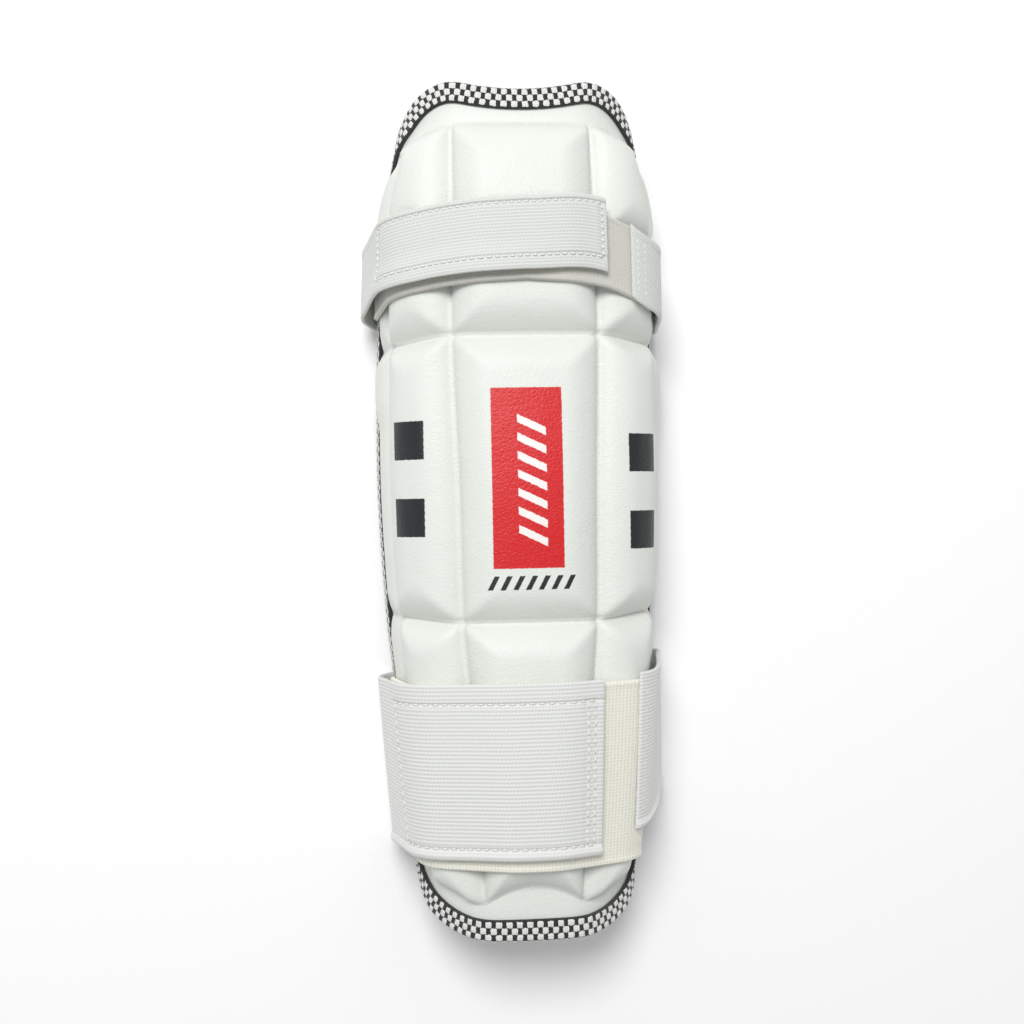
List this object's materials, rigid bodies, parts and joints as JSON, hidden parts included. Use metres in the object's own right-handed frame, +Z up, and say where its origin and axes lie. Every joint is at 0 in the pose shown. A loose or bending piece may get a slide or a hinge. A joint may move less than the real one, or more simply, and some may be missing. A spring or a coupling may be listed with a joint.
{
  "type": "cricket arm guard",
  "caption": "Moulded foam forearm guard with raised pads, a checked bound edge and two elastic straps fastened with hook and loop tape.",
  "frame": {"origin": "under the middle of the whole guard, on the surface that it lies on", "axes": "+Y along the guard to its elbow end, +Z up through the padded face, +X to the side where the straps are sewn on"},
  "size_m": [0.1064, 0.2862, 0.0623],
  "materials": {
    "moulded_face": "matt white coated cloth moulded over foam",
    "edge_binding": "black and white checked knit",
    "elastic": "white ribbed woven elastic",
    "loop_tape": "off-white looped pile",
    "hook_tape": "cream nylon hooks"
  },
  "bodies": {
    "root": {"moulded_face": "moulded_face", "edge_binding": "edge_binding", "upper_strap": "elastic", "lower_strap": "elastic", "upper_loop_tape": "loop_tape", "lower_loop_tape": "loop_tape", "upper_hook_tape": "hook_tape", "lower_hook_tape": "hook_tape"}
  },
  "joints": []
}
